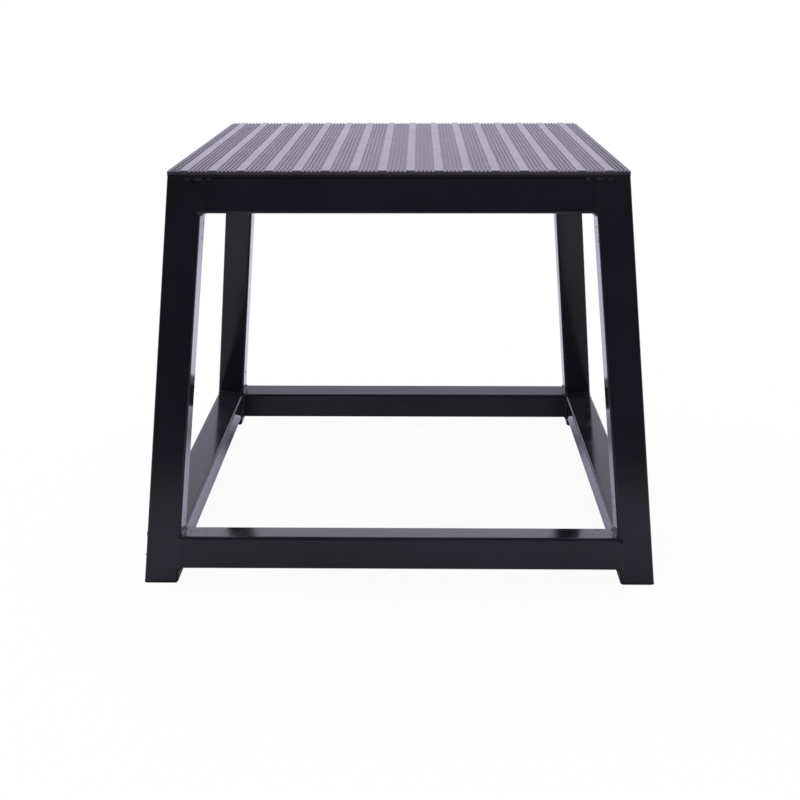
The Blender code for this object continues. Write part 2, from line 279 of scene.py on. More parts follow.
def steel_coat(name, color, roughness, coat, peel, lines):
    """Make a baked coat on steel. The mill's lines follow the attribute length_place."""
    made, tree, shader, place = start_material(name)
    clouds = noise(tree, place, scale=14, detail=4.0)
    dust = dust_mask(tree, place)
    sanded = joint_mask(tree, place)

    deep, light = [tuple(shade * part for part in color) for shade in COAT_SHADES]
    tinted = blend_colors(tree, ramp(tree, clouds, 0.3, 0.7), deep, light)
    dusty = lay_over(tree, tinted, dust, share=0.03, top=COAT_DUST)
    dulled = plus(tree, times(tree, clouds, GLOSS_SPREAD), roughness - GLOSS_SPREAD / 2)
    for mask, share in ((dust, 0.08), (sanded, 0.04)):
        dulled = plus(tree, dulled, times(tree, mask, share))

    normal = bump(tree, noise(tree, place, scale=420, detail=1.5), depth=peel)
    length_place = add_node(tree, "Attribute", attribute_name="length_place").outputs["Vector"]
    drawn = noise(tree, length_place, scale=1100, detail=3.0, stretch=ALONG_TUBE)
    normal = bump(tree, drawn, depth=lines, normal=normal)
    swirls = noise(tree, place, scale=900, detail=3.0, stretch=(1, 1, 0.3), distortion=1.5)
    normal = bump(tree, times(tree, swirls, sanded), depth=0.000008, normal=normal)
    wire(tree, shader, {"Base Color": dusty, "Roughness": dulled, "Coat Weight": coat})
    wire(tree, shader, {"Coat Roughness": 0.06, "Normal": normal, "Coat Normal": normal})
    return made


frame_paint = steel_coat(
    "frame_coat", COAT_COLOR, roughness=0.11, coat=0.10, peel=0.000014, lines=0.000004
)
print("coat for the tubes:", frame_paint.name)

# %% [markdown]
# From a bmesh to a piece
# Every piece is shaped in a bmesh, Blender's editable mesh, and then kept as an object at
# the origin with its place in its mesh. Round corners should shade smoothly while flats
# stay flat. Shading by angle alone bends the light on a long flat face beside a round
# corner, so a Weighted Normal modifier lets the large faces decide.

# %% Keep a bmesh as a piece
def add_object(name, data):
    """Put a mesh, a camera or a lamp into the scene as an object."""
    made = bpy.data.objects.new(name, data)
    bpy.context.scene.collection.objects.link(made)
    return made


def keep_piece(bm, name, surface, sharp_angle=35, weighted=True):
    """Turn a bmesh into a named object that rides on the frame."""
    bmesh.ops.recalc_face_normals(bm, faces=bm.faces[:])
    mesh = bpy.data.meshes.new(name)
    bm.to_mesh(mesh)
    bm.free()
    mesh.shade_smooth()
    mesh.set_sharp_from_angle(angle=math.radians(sharp_angle))
    mesh.materials.append(surface)
    piece = add_object(name, mesh)
    if weighted:
        modifier = piece.modifiers.new("flat_faces_decide", "WEIGHTED_NORMAL")
        modifier.keep_sharp = True
    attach(piece, "root")
    return piece


print("helpers ready: add_object, keep_piece")

# %% Move and round a whole bmesh
def shift_all(bm, offset):
    """Move every point by an offset."""
    bmesh.ops.translate(bm, verts=bm.verts[:], vec=offset)


def transform_all(bm, matrix):
    """Transform every point by a matrix."""
    bmesh.ops.transform(bm, matrix=matrix, verts=bm.verts[:])


def bevel(bm, chosen, width, steps, affect="EDGES"):
    """Round the chosen edges or corner points."""
    bmesh.ops.bevel(
        bm, geom=chosen, offset=width, segments=steps, profile=0.5, affect=affect, material=-1
    )


print("helpers ready: shift_all, transform_all, bevel")

# %% [markdown]
# Square tube
# Real square tube is rolled from strip, so its edges are round. A cube with bevelled
# edges would do, but a rounded square drawn out along its length is how a mill thinks of
# it, and it leaves the ends plain for the cuts to come. Eight steps in each corner
# keep the highlight on it smooth.
# Each point's place in the straight tube is stored before the tube is leaned or turned,
# so that the coat's lines run along every tube, whichever way it points.

# %% Remember each point's place along the piece
PATTERN_SHIFT = (0.21, 0.13, 0.37)


def remember_length(bm, number, matrix=Matrix.Identity(4)):
    """Store each point's place in the straight piece. The number keeps pieces different."""
    layer = bm.verts.layers.float_vector.new("length_place")
    shift = Vector([part * number for part in PATTERN_SHIFT])
    for vert in bm.verts:
        vert[layer] = matrix @ vert.co + shift


print("each piece shifts its pattern by another", PATTERN_SHIFT)

# %% Draw out a straight tube
CORNER_STEPS = 8


def rounded_square(bm, size, radius):
    """Add a flat square with rounded corners around the origin."""
    made = bmesh.ops.create_circle(bm, cap_ends=True, segments=4, radius=size / math.sqrt(2))
    eighth = Matrix.Rotation(math.radians(45), 3, "Z")
    bmesh.ops.rotate(bm, verts=made["verts"], matrix=eighth)
    bevel(bm, made["verts"], radius, CORNER_STEPS, affect="VERTICES")


def draw_out(bm, length):
    """Extrude every face along Z."""
    grown = bmesh.ops.extrude_face_region(bm, geom=bm.faces[:])
    ends = [item for item in grown["geom"] if isinstance(item, bmesh.types.BMVert)]
    bmesh.ops.translate(bm, verts=ends, vec=(0, 0, length))


def straight_tube(length, size, number):
    """Make a tube that stands on the XY plane and remember each point's place in it."""
    bm = bmesh.new()
    rounded_square(bm, size, TUBE_RADIUS)
    draw_out(bm, length)
    remember_length(bm, number)
    return bm


print("tube corners have", CORNER_STEPS, "steps on a radius of", TUBE_RADIUS * 1000, "mm")

# %% [markdown]
# The legs
# A leg is a tube cut level at both ends and leaned both ways. Turning a straight tube by
# two angles would twist its square out of line with the box, so the tube is sheared
# instead: each level slides in, and every level cut stays the same square.

# %% Make the legs
LEG_BOTTOM = 0.0017


def make_leg(turn):
    """Make one leg, from the top of its foot cap to the underside of the deck plate."""
    bm = straight_tube(FRAME_HEIGHT - LEG_BOTTOM, LEG_SECTION, turn)
    shift_all(bm, (0, 0, LEG_BOTTOM))
    transform_all(bm, Matrix.Shear("XY", 4, (SLOPE, SLOPE)))
    shift_all(bm, (-LEG_OFFSET, -LEG_OFFSET, 0))
    transform_all(bm, quarter_turns(turn))
    piece = keep_piece(bm, CORNERS[turn] + "_leg_tube", frame_paint)
    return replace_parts(piece, CORNERS[turn] + "_leg")


legs = [make_leg(turn) for turn in range(4)]
print("legs:", [leg.name for leg in legs])

# %% [markdown]
# The rails
# A rail is rolled by the lean angle and its ends are mitred to the leaning legs. The
# mitre could be two slanting cuts, but it is simpler to let every end point slide along
# the rail until it meets the leg, which gives the compound angle without working it out.

# %% Find a rail's seat
LOWER_RAIL_BOTTOM = 0.0115
RAIL_TOPS = {"lower": LOWER_RAIL_BOTTOM + TUBE * math.cos(SPLAY), "top": FRAME_HEIGHT}


def rail_seat(level):
    """Give the placement of a front rail, which is rolled to lie in the leaning side."""
    face_middle = RAIL_TOPS[level] - TUBE / 2 * math.cos(SPLAY)
    depth = TUBE / 2 * math.cos(SPLAY) - half_width(face_middle)
    middle = Vector((0, depth, face_middle - TUBE / 2 * math.sin(SPLAY)))
    return Matrix.Translation(middle) @ Matrix.Rotation(-SPLAY, 4, "X")


for level in RAIL_TOPS:
    print(level, "rail axis at", [round(part, 4) for part in rail_seat(level).translation])

# %% Make the rails
RAIL_BLANK = 1.0
RAIL_BITE = 0.0002
RAIL_NUMBERS = {"lower": 25, "top": 17}


def make_rail(level, turn):
    """Make one rail, its ends let into the legs' inner faces."""
    bm = straight_tube(RAIL_BLANK, TUBE, RAIL_NUMBERS[level] + turn)
    shift_all(bm, (0, 0, -RAIL_BLANK / 2))
    sideways = Matrix.Rotation(math.radians(90), 4, "Y")
    transform_all(bm, rail_seat(level) @ sideways)
    for vert in bm.verts:
        vert.co.x = math.copysign(half_gap(vert.co.z) + RAIL_BITE, vert.co.x)
    transform_all(bm, quarter_turns(turn))
    piece = keep_piece(bm, f"{SIDES[turn]}_{level}_rail_tube", frame_paint)
    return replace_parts(piece, f"{SIDES[turn]}_{level}_rail")


rails = [make_rail(level, turn) for level in RAIL_TOPS for turn in range(4)]
print("rails:", [rail.name for rail in rails])

# %% [markdown]
# Weld beads
# A welder runs a bead round each rail end. It freezes in small overlapping scales, a
# little over a millimetre apart. A plain swept tube would lack them, and a bump map
# would lose them at the outline, so the bead is grown ring by ring: each ring is
# extruded from the last, set across the path, and swells and shrinks with the scales.
# Each scale also bows forward, because the middle of the molten pool freezes last.

# %% Walk along a path
TURN_STEPS = 6
SCALE_PITCH = 0.0013
RINGS_PER_SCALE = 5


def round_turns(points, radius, closed):
    """Round the corners of a path. The ends of an open path stay."""
    path = []
    for number, corner in enumerate(points):
        if not closed and number in (0, len(points) - 1):
            path.append(corner)
            continue
        incoming = (corner - points[number - 1]).normalized()
        outgoing = (points[(number + 1) % len(points)] - corner).normalized()
        for step in range(TURN_STEPS + 1):
            angle = math.radians(90 * step / TURN_STEPS)
            along = (math.sin(angle) - 1) * incoming + (1 - math.cos(angle)) * outgoing
            path.append(corner + radius * along)
    return path


def even_steps(path, closed):
    """Divide a path into whole scales of a few even steps each. Return the points between."""
    corners = path + path[:1] if closed else path
    lengths = [(after - before).length for before, after in zip(corners, corners[1:])]
    count = round(sum(lengths) / SCALE_PITCH) * RINGS_PER_SCALE
    step = sum(lengths) / count
    points = []
    passed = 0.0
    for before, after, length in zip(corners, corners[1:], lengths):
        while len(points) * step < passed + length - 1e-9:
            share = (len(points) * step - passed) / length
            points.append(before.lerp(after, share))
        passed += length
    return points if closed else points[:count] + [corners[-1]]


print("each corner of a path becomes", TURN_STEPS + 1, "points")

# %% Set rings across the path
def ring_frames(points, across, closed):
    """Give each point of a path a placement with Z along the path."""
    first, last = points[:1], points[-1:]
    around = last + points + first if closed else first + points + last
    frames = []
    for before, point, after in zip(around, points, around[2:]):
        forward = (after - before).normalized()
        side = (across - across.dot(forward) * forward).normalized()
        turned = Matrix((side, forward.cross(side), forward)).transposed().to_4x4()
        frames.append(Matrix.Translation(point) @ turned)
    return frames


print("rings are square to the path")

# %% Grow a rippled bead
RING_SIDES = 14
RIPPLE = 0.05
BOW = 0.35
FLATTEN = 0.14
TAPERED_SCALES = 2


def ring_sizes(count, closed, tip, lumps, seed):
    """Give each ring's size against the bead's: scales, slow unevenness, and round ends."""
    chance = random.Random(seed)
    scales = count // RINGS_PER_SCALE
    steps = scales * RINGS_PER_SCALE
    uneven = [chance.uniform(-lumps, lumps) for _ in range(scales)]
    uneven.append(uneven[0])
    sizes = []
    for ring in range(count):
        number = min(ring // RINGS_PER_SCALE, scales - 1)
        share = ring / RINGS_PER_SCALE - number
        swell = abs(math.sin(math.pi * share))
        drift = (1 - share) * uneven[number] + share * uneven[number + 1]
        from_end = min(ring, steps - ring) / RINGS_PER_SCALE / TAPERED_SCALES
        inward = 1.0 if closed else min(1.0, from_end)
        taper = tip + (1 - tip) * math.sqrt(1 - (1 - inward) ** 2)
        sizes.append((1 - RIPPLE + RIPPLE * swell + drift) * taper)
    return sizes


def first_ring(bm, exposed):
    """Start with a ring whose exposed part is flatter and bows forward."""
    verts = bmesh.ops.create_circle(bm, segments=RING_SIDES, radius=1)["verts"]
    for vert in verts:
        outward = max(0.0, vert.co.dot(exposed))
        vert.co -= FLATTEN * outward * exposed
        vert.co.z = BOW * outward**2
    return verts, bm.edges[:]


def grow_bead(path, radius, across, exposed, closed, seed, lumps=0.06, tip=1.0):
    """Grow a bead of overlapping scales along a path, and return it as a bmesh."""
    points = even_steps(path, closed)
    sizes = ring_sizes(len(points), closed, tip, lumps, seed)
    placed = [
        seat @ Matrix.Scale(radius * size, 4)
        for seat, size in zip(ring_frames(points, across, closed), sizes)
    ]
    bm = bmesh.new()
    verts, edges = first_ring(bm, exposed)
    bmesh.ops.transform(bm, matrix=placed[0], verts=verts)
    start = edges
    for last, here in zip(placed, placed[1:]):
        grown = bmesh.ops.extrude_edge_only(bm, edges=edges)["geom"]
        verts = [item for item in grown if isinstance(item, bmesh.types.BMVert)]
        fresh = set(verts)
        grown_edges = [item for item in grown if isinstance(item, bmesh.types.BMEdge)]
        edges = [edge for edge in grown_edges if fresh.issuperset(edge.verts)]
        bmesh.ops.transform(bm, matrix=here @ last.inverted(), verts=verts)
    if closed:
        bmesh.ops.bridge_loops(bm, edges=start + edges)
    return bm


print("a scale is", SCALE_PITCH * 1000, "mm long and swells by", RIPPLE * 100, "per cent")

# %% [markdown]
# Where the beads run
# The bead in the angle between two tubes shows as a rounded fillet. On the outer faces
# the welder ground it flush, so there the bead sits deeper and a plane cuts it level
# with the tubes. Two rails meet at each leg. One rail's bead goes all the way round, and
# the other's runs into it in the inner angle. Under the deck plate neither closes. The
# seam along the plate's edge carries no load, so it only has short dabs near each corner.

# %% Trace the beads of a joint
BEAD_RADIUS = 0.0034
BEAD_SINK = 0.0008
BEAD_INSET = 0.0019
BEAD_TURN = 0.0020


def rail_end_path(level, goes_round):
    """Trace the bead at a front rail's right end. Tell too whether it closes on itself."""
    outer = BEAD_INSET - TUBE / 2
    inner = TUBE / 2 - BEAD_SINK
    bottom = BEAD_SINK - TUBE / 2
    if level == "top":
        section = [(outer, TUBE / 2), (outer, bottom), (inner, bottom)]
        section += [(inner, TUBE / 2)] if goes_round else []
    else:
        section = [(inner, inner), (outer, inner), (outer, bottom), (inner, bottom)]
    corners = [rail_seat(level) @ Vector((0, across, up)) for across, up in section]
    closed = goes_round and level == "lower"
    path = round_turns(corners, BEAD_TURN, closed)
    for point in path:
        point.x = half_gap(point.z) + BEAD_SINK
    return path, closed


print("a lower bead goes round", len(rail_end_path("lower", True)[0]), "points")

# %% [markdown]
# Grind, mirror and join
# A plane cut removes what stands out of the tubes, and the hole that it leaves is filled
# with one flat face, which is what a grinding disc leaves. The leg's two sides mirror
# each other, so the second bead is made on the front side and mirrored across the leg.

# %% Grind a bead
GROUND_PROUD = 0.00001


def close_holes(bm):
    """Fill each open rim with one face."""
    rim = [edge for edge in bm.edges if edge.is_boundary]
    bmesh.ops.holes_fill(bm, edges=rim, sides=0)


def plane_cut(bm, point, normal, clear_outer=False):
    """Cut every face along a plane."""
    everything = bm.verts[:] + bm.edges[:] + bm.faces[:]
    bmesh.ops.bisect_plane(
        bm, geom=everything, plane_co=point, plane_no=normal, clear_outer=clear_outer
    )


def cut_away(bm, point, outward):
    """Cut off everything beyond a plane and close the cut."""
    plane_cut(bm, point, outward, clear_outer=True)
    close_holes(bm)


def grind(bm):
    """Cut a bead level with the front and right faces of the front right corner."""
    for outward in (Vector((0, -1, SLOPE)), Vector((1, 0, SLOPE))):
        direction = outward.normalized()
        level_out = Vector((outward.x, outward.y, 0)) * half_width(0)
        cut_away(bm, level_out + direction * GROUND_PROUD, direction)


print("the ground faces stand", GROUND_PROUD * 1000, "mm out of the tubes")

# %% Make one bead or dab
ACROSS_LEG = Matrix(((0, -1, 0, 0), (-1, 0, 0, 0), (0, 0, 1, 0), (0, 0, 0, 1)))
FILLET_SIDE = Vector((-0.7, 0.7, 0))
SEAM_SIDE = Vector((0.3, -0.95, 0))
SEAM_RADIUS = 0.0013
SEAM_BELOW = 0.0007
SEAM_SINK = 0.0005
SEAM_DABS = ((0.131, 0.1345), (0.1375, 0.1435), (0.1465, 0.150))
DAB_SHAPE = {"closed": False, "lumps": 0.25, "tip": 0.2}


def rail_end_bead(level, goes_round, seed):
    """Grow and grind the bead of one rail end."""
    path, closed = rail_end_path(level, goes_round)
    bm = grow_bead(path, BEAD_RADIUS, Vector((1, 0, 0)), FILLET_SIDE, closed, seed)
    if not goes_round:
        transform_all(bm, ACROSS_LEG)
    grind(bm)
    if level == "top":
        cut_away(bm, Vector((0, 0, FRAME_HEIGHT)), Vector((0, 0, 1)))
    return bm


def seam_dab(ends, mirrored, seed):
    """Grow one dab between the deck plate and the front of the frame."""
    height = FRAME_HEIGHT - SEAM_BELOW
    path = [Vector((across, SEAM_SINK - half_width(height), height)) for across in ends]
    bm = grow_bead(path, SEAM_RADIUS, Vector((0, 0, 1)), SEAM_SIDE, seed=seed, **DAB_SHAPE)
    if mirrored:
        transform_all(bm, ACROSS_LEG)
    close_holes(bm)
    return bm


print("a top corner has", 2 * len(SEAM_DABS), "dabs in the seam under the deck")

# %% [markdown]
# The coat over the welds
# The same coat covers the welds, but it pools in the valleys and pulls thin on the
# crowns, so it is a little thicker, duller and more uneven than on the flat tube.

# %% Make the welds
WELD_SEEDS = {"lower": 5, "top": 3}

weld_paint = steel_coat("weld_coat", COAT_COLOR, roughness=0.22, coat=0.3, peel=0.00012, lines=0.0)


def join_shapes(shapes):
    """Join several bmeshes into one."""
    joined = bmesh.new()
    for bm in shapes:
        bmesh.ops.recalc_face_normals(bm, faces=bm.faces[:])
        carrier = bpy.data.meshes.new("carrier")
        bm.to_mesh(carrier)
        bm.free()
        joined.from_mesh(carrier)
        bpy.data.meshes.remove(carrier)
    return joined


def make_weld(level, turn):
    """Make the weld of one corner at one level and put it in place of its plain solid."""
    seed = 10 * turn + WELD_SEEDS[level]
    shapes = [rail_end_bead(level, True, seed), rail_end_bead(level, False, seed + 1)]
    if level == "top":
        for number, ends in enumerate(SEAM_DABS):
            shapes += [seam_dab(ends, mirrored, seed + 2 + number) for mirrored in (False, True)]
    bm = join_shapes(shapes)
    transform_all(bm, quarter_turns(turn))
    corner = CORNERS[(turn + 1) % 4]
    name = f"{corner}_{level}_beads"
    piece = keep_piece(bm, name, weld_paint, sharp_angle=50, weighted=False)
    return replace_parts(piece, f"{corner}_{level}_weld")


welds = [make_weld(level, turn) for level in RAIL_TOPS for turn in range(4)]
print("welds:", {weld.name: len(weld.data.polygons) for weld in welds})

# %% [markdown]
# Spatter
# Welding throws small drops that freeze onto the steel near by, and the coat seals them
# in. They could be a bump in the paint, but the largest ones break the outline of a leg
# in raking light, so each is a small ball sunk into the surface that carries it. Few are
# left on the outer faces, where the grinder has been.

# %% Pick places for drops
DROP_MARGIN = 0.004


def nearest_rail(height):
    """Name the rail that is nearest to a height."""
    return "lower" if height < FRAME_HEIGHT / 2 else "top"


def leg_inner_face(chance, height):
    """Pick a point on the front right leg's face towards the front window."""
    point = Vector((half_gap(height), 0, height))
    point.y = -half_width(height) + chance.uniform(DROP_MARGIN, LEG_SECTION - DROP_MARGIN)
    return point, Vector((-1, 0, -SLOPE)).normalized()


def on_rail(chance, height, place, outward, nearest, farthest):
    """Give a point on the nearest front rail, some way in from the right leg."""
    seat = rail_seat(nearest_rail(height))
    point = seat @ Vector(place)
    point.x = half_gap(point.z) - chance.uniform(nearest, farthest)
    return point, (seat.to_3x3() @ Vector(outward)).normalized()


def rail_inner_face(chance, height):
    """Pick a point on the back of the front rail that is nearest in height."""
    place = (0, TUBE / 2, chance.uniform(-0.009, 0.009))
    return on_rail(chance, height, place, (0, 1, 0), 0.006, 0.030)


def rail_top_face(chance, height):
    """Pick a point on top of the front lower rail, or under the front top rail."""
    side = 1 if nearest_rail(height) == "lower" else -1
    place = (0, chance.uniform(-0.005, 0.009), side * TUBE / 2)
    return on_rail(chance, height, place, (0, 0, side), DROP_MARGIN, 0.017)


def outer_face(chance, height):
    """Pick a point on the front face of the front right leg."""
    point = Vector((half_width(height) - chance.uniform(DROP_MARGIN, 0.020), 0, height))
    point.y = -half_width(height)
    return point, Vector((0, -1, SLOPE)).normalized()


print("drops sit on four kinds of face")

# %% Add drops near a joint
DROP_HEIGHT = 0.45
DROPS_FROM_JOINT = (0.015, 0.040)
SMALLEST_DROP = 0.0002
LARGEST_DROP = 0.0008
LARGEST_OUTSIDE = 0.0003


def add_drop(bm, point, outward, radius, placement, length=1.0):
    """Sink a small flattened ball into a face. A longer one runs up the face."""
    made = bmesh.ops.create_icosphere(bm, subdivisions=2, radius=radius)
    upright = outward.to_track_quat("Z", "Y").to_matrix().to_4x4()
    flat = Matrix.Diagonal((1, length, DROP_HEIGHT, 1))
    placed = placement @ Matrix.Translation(point) @ upright @ flat
    bmesh.ops.transform(bm, matrix=placed, verts=made["verts"])


def scatter(bm, chance, pick, count, middle, placement):
    """Add drops to one face near a joint. The largest are left where nobody grinds."""
    largest = LARGEST_OUTSIDE if pick is outer_face else LARGEST_DROP
    for _ in range(count):
        offset = math.copysign(chance.uniform(*DROPS_FROM_JOINT), FRAME_HEIGHT / 2 - middle)
        point, outward = pick(chance, middle + offset)
        add_drop(bm, point, outward, chance.uniform(SMALLEST_DROP, largest), placement)


print("drops are up to", LARGEST_DROP * 1000, "mm in radius")

# %% Make the spatter
FACE_DROPS = ((leg_inner_face, 4), (rail_inner_face, 3), (rail_top_face, 5), (outer_face, 1))
LEFT_LEG_DROPS = ((0.038, 4.0), (0.022, 1.5))
LEFT_LEG_DROP_INSET = 0.0016
LEFT_LEG_DROP_RADIUS = 0.0006


def make_spatter():
    """Scatter drops near every joint, and two where the left leg's outline shows them."""
    chance = random.Random(5)
    bm = bmesh.new()
    for turn in range(4):
        for end in (1, -1):
            placement = quarter_turns(turn) @ Matrix.Diagonal((end, 1, 1, 1))
            for middle in JOINT_HEIGHTS:
                for pick, count in FACE_DROPS:
                    scatter(bm, chance, pick, count, middle, placement)
    outward = Vector((-1, 0, SLOPE)).normalized()
    for height, length in LEFT_LEG_DROPS:
        point = Vector((-half_width(height), -half_width(height) + LEFT_LEG_DROP_INSET, height))
        add_drop(bm, point, outward, LEFT_LEG_DROP_RADIUS, Matrix.Identity(4), length)
    return keep_piece(bm, "weld_spatter", weld_paint, weighted=False)


spatter = make_spatter()
print("spatter:", len(spatter.data.polygons), "faces")

# %% [markdown]
# The deck plate
# A square of sheet steel is welded over the frame. Only its edge shows, under the mat,
# and its underside from below. Its edges are broken with a file so that they don't cut,
# which gives the fine line of light that a knife-sharp model lacks.

# %% Make the deck plate
DECK_THICKNESS = 0.002
DECK_CORNER = 0.002
BROKEN_EDGE = 0.00025
DECK_COLOR = (0.0135, 0.013, 0.019)

deck_paint = steel_coat(
    "deck_coat", DECK_COLOR, roughness=0.30, coat=0.2, peel=0.00003, lines=0.000004
)


def make_deck_plate():
    """Make the plate with round corners and broken edges."""
    bm = bmesh.new()
    rounded_square(bm, TOP_WIDTH, DECK_CORNER)
    draw_out(bm, DECK_THICKNESS)
    shift_all(bm, (0, 0, FRAME_HEIGHT))
    rims = [edge for edge in bm.edges if edge.calc_face_angle() > math.radians(80)]
    bevel(bm, rims, BROKEN_EDGE, 2)
    remember_length(bm, 3, Matrix.Rotation(math.radians(90), 4, "Y"))
    piece = keep_piece(bm, "deck_sheet", deck_paint)
    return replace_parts(piece, "deck_plate")


deck = make_deck_plate()
print("deck plate:", len(deck.data.polygons), "faces")

# %% [markdown]
# The ribbed mat
# The mat is cut from a roll of ribbed rubber: flat bands with four fine ribs between
# them, all running from front to back, so that a foot doesn't slide sideways.
# A picture of stripes would fool nobody at the front edge, where the ribs end as a row
# of teeth. So a slab is cut by pairs of planes, the strips between them are raised, and
# their upper edges are softened as moulded rubber's are.

# %% Lay out the pattern across the mat
GROOVE_HEIGHT = 0.0022
MAT_THICKNESS = 0.003
BAND_COUNT = 16
BAND_PITCH = 0.0199
BAND_WIDTH = 0.0062
FIRST_BAND = 0.0119
RIBS_BETWEEN = 4
RIB_PITCH = 0.00283
RIB_WIDTH = 0.00095
RIB_DRAFT = 0.0002


def raised_strips():
    """List each band's and rib's left and right edge, measured from the mat's middle."""
    strips = []
    for number in range(-1, BAND_COUNT):
        band = FIRST_BAND + number * BAND_PITCH - TOP_WIDTH / 2
        if number >= 0:
            strips.append((band - BAND_WIDTH / 2, band + BAND_WIDTH / 2))
        for rib in range(RIBS_BETWEEN):
            middle = band + BAND_PITCH / 2 + (rib - (RIBS_BETWEEN - 1) / 2) * RIB_PITCH
            strips.append((middle - RIB_WIDTH / 2, middle + RIB_WIDTH / 2))
    reach = TOP_WIDTH / 2 - DECK_CORNER - RIB_DRAFT
    return [strip for strip in strips if -reach < strip[0] and strip[1] < reach]


STRIPS = raised_strips()
print("the mat has", BAND_COUNT, "bands and", len(STRIPS) - BAND_COUNT, "ribs")

# %% Cut a slab into strips
MAT_BOTTOM = FRAME_HEIGHT + DECK_THICKNESS
GROOVE_LEVEL = MAT_BOTTOM + GROOVE_HEIGHT
MAT_TOP = MAT_BOTTOM + MAT_THICKNESS
TOLERANCE = 1e-6


def mat_slab():
    """Make the slab under the ribs, with round corners in plan, and cut it into strips."""
    bm = bmesh.new()
    rounded_square(bm, TOP_WIDTH, DECK_CORNER)
    draw_out(bm, GROOVE_HEIGHT)
    shift_all(bm, (0, 0, MAT_BOTTOM))
    for left, right in STRIPS:
        for across in (left - RIB_DRAFT, right + RIB_DRAFT):
            plane_cut(bm, (across, 0, 0), (1, 0, 0))
    return bm


print("the grooves lie at", round(GROOVE_LEVEL * 1000, 2), "mm")

# %% Raise the strips
def strip_under(across):
    """Find the strip at a place across the mat, or None."""
    for left, right in STRIPS:
        if left - RIB_DRAFT < across < right + RIB_DRAFT:
            return left, right
    return None


def raise_strips(bm):
    """Lift the bands and ribs, a little narrower at the top so that the mould lets go."""
    chosen = [
        face
        for face in bm.faces
        if face.calc_center_median().z > GROOVE_LEVEL - TOLERANCE
        and strip_under(face.calc_center_median().x)
    ]
    grown = bmesh.ops.extrude_face_region(bm, geom=chosen)["geom"]
    bmesh.ops.delete(bm, geom=chosen, context="FACES_ONLY")
    tops = [item for item in grown if isinstance(item, bmesh.types.BMFace)]
    for face in tops:
        left, right = strip_under(face.calc_center_median().x)
        narrower = (right - left) / (right - left + 2 * RIB_DRAFT)
        centre = Matrix.Translation((-(left + right) / 2, 0, 0))
        bmesh.ops.scale(bm, verts=face.verts[:], vec=(narrower, 1, 1), space=centre)
        bmesh.ops.translate(bm, verts=face.verts[:], vec=(0, 0, MAT_TOP - GROOVE_LEVEL))


print("a strip is", (MAT_TOP - GROOVE_LEVEL) * 1000, "mm high")

# %% Soften the edges and mark the strips
SOFT_EDGE = 0.0003


def soften_strips(bm):
    """Round the long upper edges of the bands and ribs."""
    crests = [
        edge
        for edge in bm.edges
        if min(vert.co.z for vert in edge.verts) > MAT_TOP - TOLERANCE
        and abs(edge.verts[0].co.x - edge.verts[1].co.x) < TOLERANCE
    ]
    bevel(bm, crests, SOFT_EDGE, 3)


def mark_strips(bm):
    """Store on each face whether it belongs to a rib or to a band."""
    rib_layer = bm.faces.layers.float.new("on_rib")
    band_layer = bm.faces.layers.float.new("on_band")
    for face in bm.faces:
        middle = face.calc_center_median()
        strip = strip_under(middle.x)
        if strip is None or middle.z < MAT_TOP - 2 * SOFT_EDGE:
            continue
        wide = strip[1] - strip[0] > 2 * RIB_WIDTH
        face[band_layer if wide else rib_layer] = 1.0


print("crests are rounded by", SOFT_EDGE * 1000, "mm")

# %% [markdown]
# The rubber
# The rubber is a dull grey with a violet tinge. Feet polish the wide bands, so they are
# smoother and mirror more of the room. The rest keeps the cloth print of the mould, and
# the grooves are a little paler. The cut edge of the sheet is rougher, and darker towards
# the plate.
# The outermost ribs are darker in patches towards the front.
# The marks stored on the faces tell grooves, ribs and bands apart more exactly than a
# pattern worked out in the shader could.

# %% Name the rubber's colours
GROOVE_COLOR = (0.160, 0.132, 0.196)
RIB_COLOR = (0.140, 0.116, 0.171)
BAND_COLOR = (0.128, 0.108, 0.154)
STREAK_COLOR = (0.15, 0.14, 0.17)
MAT_DUST = (0.34, 0.33, 0.34)
OUTER_PATCH_COLOR = (0.05, 0.047, 0.052)
EDGE_DARK_COLOR = (0.03, 0.027, 0.036)
OUTERMOST = (0.147, 0.158)


def rubber_color(tree, place, on_rib, on_band, cut_edge):
    """Colour grooves, ribs and bands, then add streaks, dust, darker outer ribs and a darker edge.
    """
    parts = split(tree, place)
    outermost = ramp(tree, maths(tree, "ABSOLUTE", parts["X"]), *OUTERMOST)
    # Patches on the outermost ribs are made darker towards the front.
    outer_patches = times(tree, outermost, ramp(tree, parts["Y"], 0.10, -0.15, 0.0, 0.8))
    blotches = ramp(tree, noise(tree, place, scale=55, detail=5.0), 0.35, 0.65, 0.45, 1.0)
    streaks = noise(tree, place, scale=260, detail=4.0, stretch=(1, 0.04, 1))
    low_down = ramp(tree, parts["Z"], MAT_TOP - 0.0004, MAT_BOTTOM + 0.0008, 0.10, 0.65)

    color = blend_colors(tree, on_rib, GROOVE_COLOR, RIB_COLOR)
    color = blend_colors(tree, on_band, color, BAND_COLOR)
    color = lay_over(tree, color, ramp(tree, streaks, 0.3, 0.7), share=0.18, top=STREAK_COLOR)
    color = lay_over(tree, color, dust_mask(tree, place), share=0.10, top=MAT_DUST)
    color = lay_over(tree, color, outer_patches, share=blotches, top=OUTER_PATCH_COLOR)
    # The cut edge is made darker towards the plate.
    return lay_over(tree, color, cut_edge, share=low_down, top=EDGE_DARK_COLOR)


print("the bands' own colour is", BAND_COLOR)

